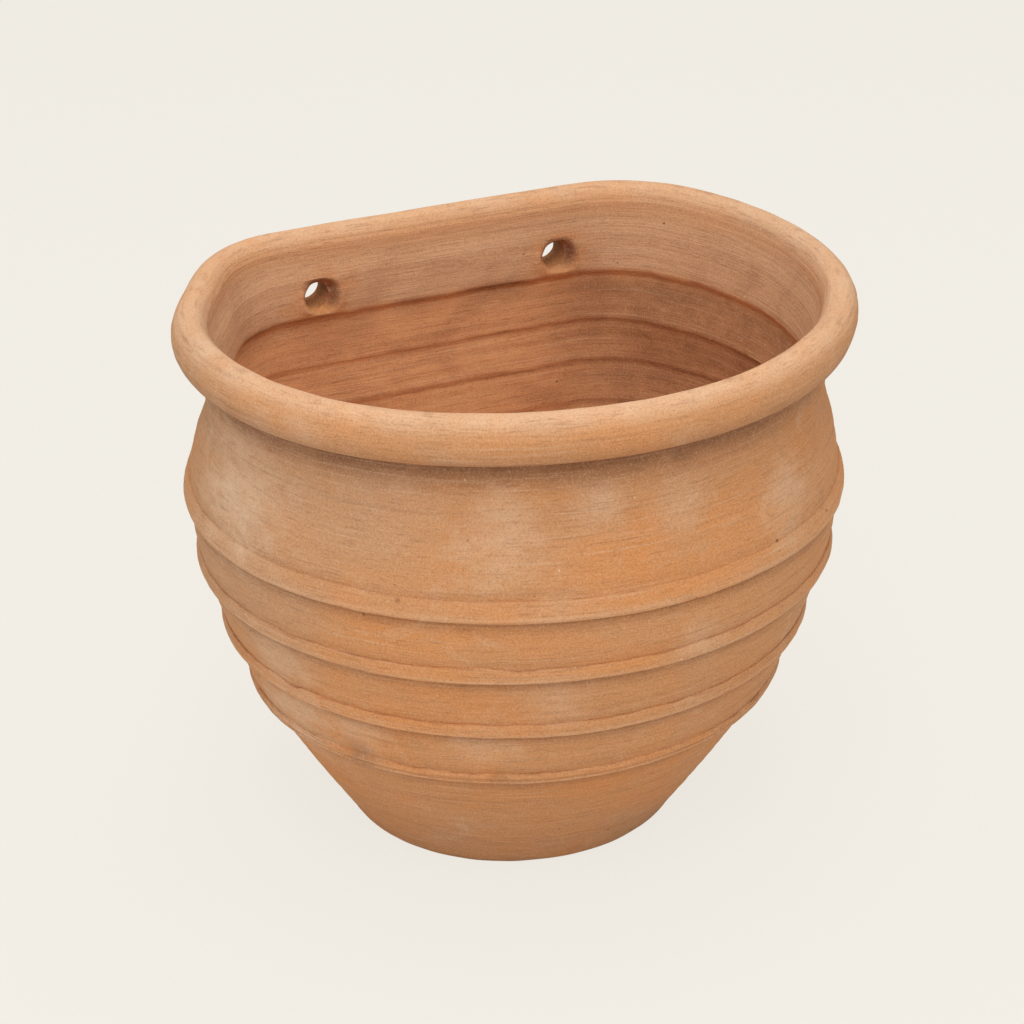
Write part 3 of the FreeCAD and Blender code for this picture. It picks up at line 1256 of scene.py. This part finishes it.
@dataclass
class RolledRim(ClayMember):
    """Roll of clay round the mouth, oval in section, seated on the wall."""

    bottom: float = -90.0
    joint: float = 165.0
    oval_stops: int = 75
    inner_stops: int = 8
    under_shares: tuple[float, ...] = (0.75, 0.50, 0.25)
    steps: int = 480
    look_ahead: float = 2.5
    slow: Lumps = Lumps(14.0, 40.0)
    lumps: Lumps = Lumps(60.0, 44.0)
    slow_depth: float = 0.00045
    lump_depth: float = 0.0002
    ridge_depth: float = 0.00007
    ridge_count: float = 2.6
    ridge_drift: float = 0.5
    seat_fade: float = 0.008
    # pale dust and painted highlight along the roll's crest: its heights and strength
    crest: tuple[float, float] = (0.2830, 0.2935)
    crest_dust_and_highlight: float = 0.56
    inward_across: tuple[float, float] = (-0.010, -0.004)
    inward_up: tuple[float, float] = (0.272, 0.291)
    # painted shade on the lower outer side of the roll: strength, heights and reach
    under_shade: float = 0.46
    under_up: tuple[float, float] = (0.268, 0.281)
    under_across: tuple[float, float] = (-0.001, 0.004)

    def section(self) -> list[tuple[float, float, float]]:
        """Points round the roll.

        Returns:
            Outward distance from the roll's middle line, height, and share of the way in from
            there to the mouth of the neck, for each point.
        """
        form = self.form
        middle = form.height - form.half_high
        turn = np.radians(np.linspace(self.bottom, self.joint, self.oval_stops))
        oval = [(form.half_wide * math.cos(a), middle + form.half_high * math.sin(a), 0.0) for a in turn]
        across, z, _ = oval[-1]
        way = np.linspace(0.0, 1.0, self.inner_stops)[1:]
        inner = [(across, z + (form.wall_top - z) * t, t) for t in way]
        return oval + inner + [(0.0, form.wall_top, t) for t in self.under_shares]

    def middle_line(self, angle: np.ndarray) -> tuple[np.ndarray, np.ndarray]:
        """Middle line of the roll and its outward direction.

        Args:
            angle: Directions in radians.

        Returns:
            Rows of x, y on the line, and rows of the outward direction.
        """
        form = self.form
        plan = Plan(form.rim_radius, form.back - form.half_wide, form.rim_corner, 0.0, form.wall_top)

        def at(a: np.ndarray) -> np.ndarray:
            """Points of the line."""
            return form.pressed([plan], np.zeros(len(a), int), a)[:, :2]

        span = math.radians(self.look_ahead)
        run = at(angle + span) - at(angle - span)
        outward = np.stack([run[:, 1], -run[:, 0]], axis=1)
        return at(angle), outward / np.linalg.norm(outward, axis=1)[:, None]

    def relief(self, points: np.ndarray, angle: np.ndarray, across: np.ndarray) -> np.ndarray:
        """Unevenness of the roll along its own outward direction.

        Args:
            points: Points about the throwing axis.
            angle: Direction of each point.
            across: Outward distance of each point from the roll's middle line.

        Returns:
            Shift of each point, never outward, and none at the seat.
        """
        form = self.form
        z = points[:, 2]
        slow = self.slow.at(points)
        around = np.arctan2(z - form.height + form.half_high, across)
        lean = around * self.ridge_count + angle / (2 * math.pi) + self.ridge_drift * slow
        depth = self.slow_depth * (slow - 1.0) + self.lump_depth * (self.lumps.at(points) - 1.0)
        depth += self.ridge_depth * (np.sin(2 * math.pi * lean) - 1.0)
        return depth * ease(z, form.wall_top, form.wall_top + self.seat_fade)

    def build(self) -> bpy.types.Object:
        """Spins the roll and lays it along the mouth.

        Returns:
            The roll.
        """
        form = self.form
        section = self.section()
        spun = [(form.rim_radius + across - share * form.seat_reach, z) for across, z, share in section]
        obj = self.wheel.spin("clay_rim", spun, self.steps)
        index, angle = self.wheel.follow(obj, spun)
        line, outward = self.middle_line(angle)
        across, z, share = (np.array(row)[index] for row in zip(*section))
        seat = form.pressed([form.mouth(form.wall_top)], np.zeros(len(angle), int), angle)[:, :2]
        level = (line + outward * across[:, None]) * (1 - share[:, None]) + seat * share[:, None]
        points = np.column_stack([level, z])
        write_points(obj, points)
        points += point_normals(obj) * self.relief(points, angle, across)[:, None]
        write_points(obj, self.wheel.place(points))
        inward = fade(across, *self.inward_across) * fade(z, *self.inward_up)
        # painted shade on the lower outer side of the roll
        shaded = self.under_shade * fade(z, *self.under_up) * ease(across, *self.under_across)
        # painted shade on the roll's inside towards the right
        right = NECK_SHADE * inward * ease(points[:, 0] - self.wheel.axis[0], *RIGHT_NECK)
        write_value(obj, "inner", inward)
        write_value(obj, "neck", inward)
        # pale dust and painted highlight along the crest
        write_value(obj, "dust_and_highlight", self.crest_dust_and_highlight * ease(z, *self.crest))
        write_value(obj, "shade_and_darkening", shaded + right)
        self.wheel.finish(obj)
        return self.dress(obj, "rolled_rim")


@dataclass
class Band(ClayMember):
    """Strip of clay laid round the wall: full crest, hard lower edge, ragged upper edge."""

    number: int = 1
    low: float = 0.1865
    height: float = 0.0115
    proud: float = 0.0030
    ragged: float = 0.0006
    sunk: float = 0.0016
    steps: int = 560
    sharp: float = 70.0
    tears: tuple[HandMark, ...] = ()
    outline: tuple[tuple[float, float], ...] = (
        (0.00, 0.10), (0.01, 0.45), (0.05, 0.76), (0.11, 0.94), (0.19, 1.0), (0.28, 0.98), (0.34, 0.89),
        (0.40, 0.90), (0.47, 0.88), (0.55, 0.74), (0.62, 0.71), (0.70, 0.66), (0.79, 0.50), (0.88, 0.40),
        (0.95, 0.32), (0.99, 0.20), (1.0, 0.02),
    )
    root: tuple[float, ...] = (1.0, 0.75, 0.50, 0.25, 0.0)
    upper_part: tuple[float, float] = (0.6, 1.0)
    lower_part: tuple[float, float] = (0.0, 0.25)
    upper_tears: tuple[Waver, ...] = (Waver(11.0, 3.7), Waver(34.0, 9.1, 0.6))
    drift: Waver = Waver(2.2, 6.3, 0.0006)
    lower_waver: Waver = Waver(20.0, 1.9, 0.00025)
    thickness: Waver = Waver(5.0, 5.1, 0.00035)
    lump_size: float = 120.0
    lump_depth: float = 0.00022
    shrink: float = 0.0003
    tuck: float = 0.0025
    tuck_span: tuple[float, float] = (0.010, 0.001)
    # painted shade along the lower edge, and darker along the upper edge: how strong each is
    edge_darkening: tuple[float, float] = (0.30, 0.20)
    low_edge: tuple[float, float] = (0.0, 0.10)
    high_edge: tuple[float, float] = (0.93, 1.0)
    # pale dust and painted highlight along the band's crest
    pale_tint: Streak = Streak(0.22, 0.16, 0.30)

    def lift(self, share: np.ndarray, angle: np.ndarray) -> np.ndarray:
        """How far the strip's edges run up and down.

        Args:
            share: How far up the strip each point lies.
            angle: Direction of each point.

        Returns:
            Rise of each point.
        """
        upper = ease(share, *self.upper_part)
        tear = self.ragged * sum(waver.at(angle, self.number) for waver in self.upper_tears)
        torn = tear + sum(mark.push(angle) for mark in self.tears)
        lower = self.lower_waver.at(angle, self.number) * fade(share, *self.lower_part)
        return torn * upper + self.drift.at(angle, self.number) + lower

    def build(self) -> bpy.types.Object:
        """Spins the strip, lays it on the wall and roughens its edges.

        Returns:
            The strip.
        """
        form = self.form
        faces = [form.outside(self.low + t * self.height, self.proud * p) for t, p in self.outline]
        root = [form.outside(self.low + t * self.height, -self.sunk) for t in self.root]
        obj, index, angle = self.throw("clay_band_%d" % self.number, faces + root, self.steps)
        share = np.array([t for t, _ in self.outline] + list(self.root))[index]
        on_face = index < len(self.outline)
        points = read_points(obj)
        points[:, 2] += self.lift(share, angle)
        lump = self.lump_depth * clay_noise(points, self.lump_size, self.number)
        start, end = (form.back - short for short in self.tuck_span)
        behind = ease(points[:, 1], start, end)
        swell = self.thickness.at(angle, self.number) + lump - self.shrink
        shift = np.where(on_face, swell, 0.0) - behind * self.tuck
        points[:, 0] += np.cos(angle) * shift
        points[:, 1] += np.sin(angle) * shift
        write_points(obj, self.wheel.place(points))
        # painted shade along the lower edge; darker along the upper edge
        low, high = self.edge_darkening
        edges = low * fade(share, *self.low_edge) + high * ease(share, *self.high_edge)
        write_value(obj, "shade_and_darkening", np.where(on_face, edges, 0.0))
        # pale dust and painted highlight along the crest
        write_value(obj, "dust_and_highlight", np.where(on_face, self.pale_tint.at(share, 0.0), 0.0))
        self.wheel.finish(obj, self.sharp)
        return self.dress(obj, "band_%d" % self.number)


@dataclass
class BaseFloor(ClayMember):
    """Floor disc inside the foot, with the drain hole."""

    drain_radius: float = 0.010
    drain_worn: float = 0.0006
    inset: float = 0.0042
    side_end: float = 0.001
    rise_step: float = 0.003
    top_step: float = 0.004
    under_step: float = 0.005
    under_z: float = 0.0008
    steps: int = 360
    rough: Lumps = Lumps(70.0, 14.0, 0.0004)

    def plans(self) -> list[Plan]:
        """Section of the floor: side, top, drain and underside.

        Returns:
            The plan of each of its points, in order.
        """
        form = self.form
        top, foot = form.floor, form.outer_radius(0.0)
        middle = form.centre(0.0)
        end = self.side_end

        def level(radius: float, z: float, skin: Skin = Skin.OUTER) -> Plan:
            """Plan of a round level."""
            return Plan(radius, form.back, form.corner, middle, z, skin)

        rim, drain_radius = foot - self.inset, self.drain_radius
        side = [level(rim, z) for z in spaced(end, top - end, self.rise_step)]
        across = spaced(rim - end, drain_radius + 2 * end, self.top_step)
        inner = [level(r, top, Skin.INNER) for r in across]
        drain = [level(drain_radius + self.drain_worn, top - end / 2, Skin.INNER)]
        drain += [level(drain_radius, z) for z in spaced(top - 2 * end, 2 * end, self.rise_step)]
        across = spaced(drain_radius + end, rim - 2 * end, self.under_step)
        return side + inner + drain + [level(r, self.under_z) for r in across]

    def build(self) -> bpy.types.Object:
        """Throws the floor disc.

        Returns:
            The floor.
        """
        plans = self.plans()
        obj, index, _ = self.throw("clay_floor", plans, self.steps)
        points = read_points(obj)
        rough = self.rough.at(points)
        points[:, 2] += np.where(points[:, 2] < self.side_end, rough, 0.0)
        write_points(obj, self.wheel.place(points))
        write_value(obj, "inner", np.array([plan.skin.value for plan in plans])[index])
        self.wheel.finish(obj)
        return self.dress(obj, "base_floor")


# ---- Studio -----------------------------------------------------------------------------------


@dataclass(frozen=True)
class Lamp:
    """Soft square lamp: where it hangs, its edge in metres and its watts."""

    name: str
    place: tuple[float, float, float]
    size: float
    power: float


@dataclass(frozen=True)
class Studio:
    """Pale floor, soft light and the camera at the photograph's angle."""

    axis: tuple[float, float]
    azimuth: float = -23.807
    elevation: float = 26.407
    roll: float = -0.636
    distance: float = 1.600
    target_z: float = 0.150
    side_step: float = 0.0015
    focal_pixels: float = 3067.2
    picture: float = 1024.0
    middle: tuple[float, float] = (518.25, 537.71)
    sensor: float = 36.0
    paper: tuple[float, float, float] = (0.888, 0.855, 0.784)
    floor_colour: tuple[float, float, float] = (0.800, 0.780, 0.735)
    evenness: float = 0.90
    sky: float = 0.47
    nearest: float = 0.05
    floor_size: float = 14.0
    floor_drop: float = 0.0002
    aim: tuple[float, float, float] = (0.0, 0.0, 0.16)
    lamps: tuple[Lamp, ...] = (
        Lamp("key", (-0.9, -1.7, 2.3), 1.5, 34.5),
        Lamp("overhead", (0.0, 0.1, 2.7), 2.0, 33.0),
        Lamp("low_left", (-1.9, -1.0, 0.7), 1.2, 3.0),
        Lamp("low_right", (1.9, -1.0, 0.8), 1.2, 3.5),
    )

    def camera(self) -> None:
        """Adds the camera where the photograph's stood, with its lens and its off-centre picture."""
        a, e, r = (math.radians(v) for v in (self.azimuth, self.elevation, self.roll))
        back = Vector((math.sin(a) * math.cos(e), -math.cos(a) * math.cos(e), math.sin(e)))
        right = Vector((math.cos(a), math.sin(a), 0.0))
        up = back.cross(right)
        across = right * math.cos(r) + up * math.sin(r)
        upward = up * math.cos(r) - right * math.sin(r)
        eye = Vector((self.axis[0] + self.side_step, self.axis[1], self.target_z)) + back * self.distance
        data = bpy.data.cameras.new("camera")
        data.sensor_width = self.sensor
        data.lens = self.focal_pixels / self.picture * self.sensor
        data.shift_x = -(self.middle[0] - self.picture / 2) / self.picture
        data.shift_y = (self.middle[1] - self.picture / 2) / self.picture
        data.clip_start = self.nearest
        obj = bpy.data.objects.new("camera", data)
        turn = Matrix((across, upward, back)).transposed()
        obj.matrix_world = Matrix.Translation(eye) @ turn.to_4x4()
        bpy.context.scene.collection.objects.link(obj)
        bpy.context.scene.camera = obj

    def floor(self) -> None:
        """Adds the pale floor."""
        bpy.ops.object.select_all(action="DESELECT")
        bpy.ops.mesh.primitive_plane_add(size=self.floor_size, location=(0.0, 0.0, -self.floor_drop))
        obj = bpy.context.object
        obj.name = "studio_floor"
        obj.data.materials.append(self.backdrop())

    def seen(self, tree: bpy.types.NodeTree) -> bpy.types.NodeSocket:
        """Share that is 1 for the camera's rays and for those that metal or glass pass on.

        Args:
            tree: The node tree that uses it.

        Returns:
            The socket that carries the share.
        """
        path = tree.nodes.new("ShaderNodeLightPath")
        total = path.outputs["Is Camera Ray"]
        for ray in ("Is Glossy Ray", "Is Transmission Ray"):
            adder = tree.nodes.new("ShaderNodeMath")
            adder.operation = "ADD"
            adder.use_clamp = True
            tree.links.new(total, adder.inputs[0])
            tree.links.new(path.outputs[ray], adder.inputs[1])
            total = adder.outputs["Value"]
        return total

    def backdrop(self) -> bpy.types.Material:
        """Paper that the camera sees pale and even, with the pot's shadow left faint on it.

        Returns:
            The paper's material.
        """
        material = bpy.data.materials.new("studio_paper")
        material.use_nodes = True
        tree = material.node_tree
        tree.nodes.clear()
        share = tree.nodes.new("ShaderNodeMath")
        share.operation = "MULTIPLY"
        share.inputs[1].default_value = self.evenness
        glow = tree.nodes.new("ShaderNodeEmission")
        glow.inputs["Color"].default_value = (*self.paper, 1.0)
        glow.inputs["Strength"].default_value = 1.0
        matte = tree.nodes.new("ShaderNodeBsdfDiffuse")
        matte.inputs["Color"].default_value = (*self.floor_colour, 1.0)
        both = tree.nodes.new("ShaderNodeMixShader")
        output = tree.nodes.new("ShaderNodeOutputMaterial")
        tree.links.new(self.seen(tree), share.inputs[0])
        tree.links.new(share.outputs["Value"], both.inputs[0])
        tree.links.new(matte.outputs["BSDF"], both.inputs[1])
        tree.links.new(glow.outputs["Emission"], both.inputs[2])
        tree.links.new(both.outputs["Shader"], output.inputs["Surface"])
        return material

    def hang(self, lamp: Lamp) -> None:
        """Adds one soft lamp, turned to the pot.

        Args:
            lamp: The lamp.
        """
        data = bpy.data.lights.new(lamp.name, "AREA")
        data.shape = "SQUARE"
        data.size = lamp.size
        data.energy = lamp.power
        obj = bpy.data.objects.new(lamp.name, data)
        obj.location = lamp.place
        obj.rotation_euler = (Vector(self.aim) - Vector(lamp.place)).to_track_quat("-Z", "Y").to_euler()
        bpy.context.scene.collection.objects.link(obj)

    def light(self) -> None:
        """Adds the world's even light, which the camera sees as paper, and the soft lamps."""
        world = bpy.data.worlds.new("studio_light")
        world.use_nodes = True
        tree = world.node_tree
        sky = tree.nodes["Background"]
        sky.inputs["Color"].default_value = (1.0, 1.0, 1.0, 1.0)
        sky.inputs["Strength"].default_value = self.sky
        far = tree.nodes.new("ShaderNodeBackground")
        far.inputs["Color"].default_value = (*self.paper, 1.0)
        far.inputs["Strength"].default_value = 1.0
        both = tree.nodes.new("ShaderNodeMixShader")
        tree.links.new(self.seen(tree), both.inputs[0])
        tree.links.new(sky.outputs["Background"], both.inputs[1])
        tree.links.new(far.outputs["Background"], both.inputs[2])
        tree.links.new(both.outputs["Shader"], tree.nodes["World Output"].inputs["Surface"])
        bpy.context.scene.world = world
        for lamp in self.lamps:
            self.hang(lamp)

    def build(self) -> None:
        """Sets up floor, light, camera and colour handling."""
        self.floor()
        self.light()
        self.camera()
        bpy.context.scene.view_settings.view_transform = "Standard"


# ---- Assembly ---------------------------------------------------------------------------------

MARKS = (
    Spot((-0.071, -0.140, 0.240), 0.020, 0.50),
    Spot((-0.072, -0.143, 0.223), 0.026, 0.60),
    Spot((-0.024, -0.153, 0.242), 0.018, 0.55),
    Spot((0.017, -0.155, 0.236), 0.018, 0.45),
    Spot((0.082, -0.138, 0.218), 0.026, 0.60),
    Spot((-0.162, -0.030, 0.225), 0.055, 0.90),
    Spot((-0.136, -0.038, 0.100), 0.044, 0.90),
    Spot((-0.150, -0.045, 0.130), 0.030, 0.70),
    Spot((-0.118, -0.073, 0.110), 0.026, 0.75),
    Spot((-0.043, -0.147, 0.139), 0.022, 0.45),
    Spot((-0.074, -0.123, 0.108), 0.024, 0.55),
    Spot((0.027, -0.157, 0.160), 0.020, 0.40),
    Spot((-0.159, -0.067, 0.272), 0.018, 0.45),
    Spot((-0.149, -0.095, 0.280), 0.016, 0.45),
    Spot((-0.027, -0.159, 0.206), 0.034, 0.65, Tint.WARM),
    Spot((0.010, -0.125, 0.090), 0.034, 0.50, Tint.WARM),
    Spot((-0.065, 0.107, 0.255), 0.022, 0.90, Tint.WARM),
    Spot((0.073, 0.107, 0.255), 0.022, 0.90, Tint.WARM),
    Spot((-0.118, -0.073, 0.088), 0.014, 0.60, Tint.DIRT),
    Spot((-0.063, -0.120, 0.086), 0.008, 0.50, Tint.DIRT),
    Spot((-0.114, -0.121, 0.196), 0.0018, 0.90, Tint.DIRT),
    Spot((0.094, 0.104, 0.254), 0.010, 0.45, Tint.DIRT),
    Spot((0.054, 0.104, 0.266), 0.005, 0.50, Tint.DIRT),
)
BAND_EDGES = (
    (0.0005, ()),
    (0.0009, (HandMark(-121.6, 6.0, 0.0014), HandMark(-112.0, 3.0, -0.0010))),
    (0.0007, (HandMark(-160.6, 3.0, -0.0018),)),
    (0.0012, (HandMark(-148.0, 7.0, 0.0020),)),
)
DOUBLE_RIDGE = (
    (0.00, 0.10), (0.02, 0.50), (0.07, 0.82), (0.15, 1.0), (0.25, 0.96), (0.33, 0.70), (0.40, 0.58),
    (0.47, 0.62), (0.55, 0.84), (0.64, 0.90), (0.73, 0.76), (0.83, 0.50), (0.92, 0.30), (1.0, 0.02),
)


def report(obj: bpy.types.Object) -> None:
    """Logs a piece's name, size and face count."""
    size = obj.dimensions * 1000
    LOG.info("%s: %.1f x %.1f x %.1f mm, %d faces", obj.name, size.x, size.y, size.z, len(obj.data.polygons))


def main() -> None:
    """Builds the pot's members in order, then the studio."""
    logging.basicConfig(level=logging.INFO, format="%(name)s: %(message)s")
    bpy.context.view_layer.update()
    form = ThrownForm()
    base_low, base_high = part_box("base_floor")
    wall_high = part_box("wall")[1]
    axis = ((base_low.x + base_high.x) / 2, wall_high.y - form.back)
    wheel = Wheel(axis)
    finish = Terracotta(axis, MARKS)
    report(BaseFloor(form, wheel, finish).build())
    report(Wall(form, wheel, finish).build())
    report(RolledRim(form, wheel, finish).build())
    for number, (low, height) in enumerate(form.bands, start=1):
        rough, tears = BAND_EDGES[number - 1]
        outline = DOUBLE_RIDGE if number == len(form.bands) else Band.outline
        report(Band(form, wheel, finish, number=number, low=low, height=height, ragged=rough,
                    tears=tears, outline=outline).build())
    Studio(axis).build()


if __name__ == "__main__":
    main()
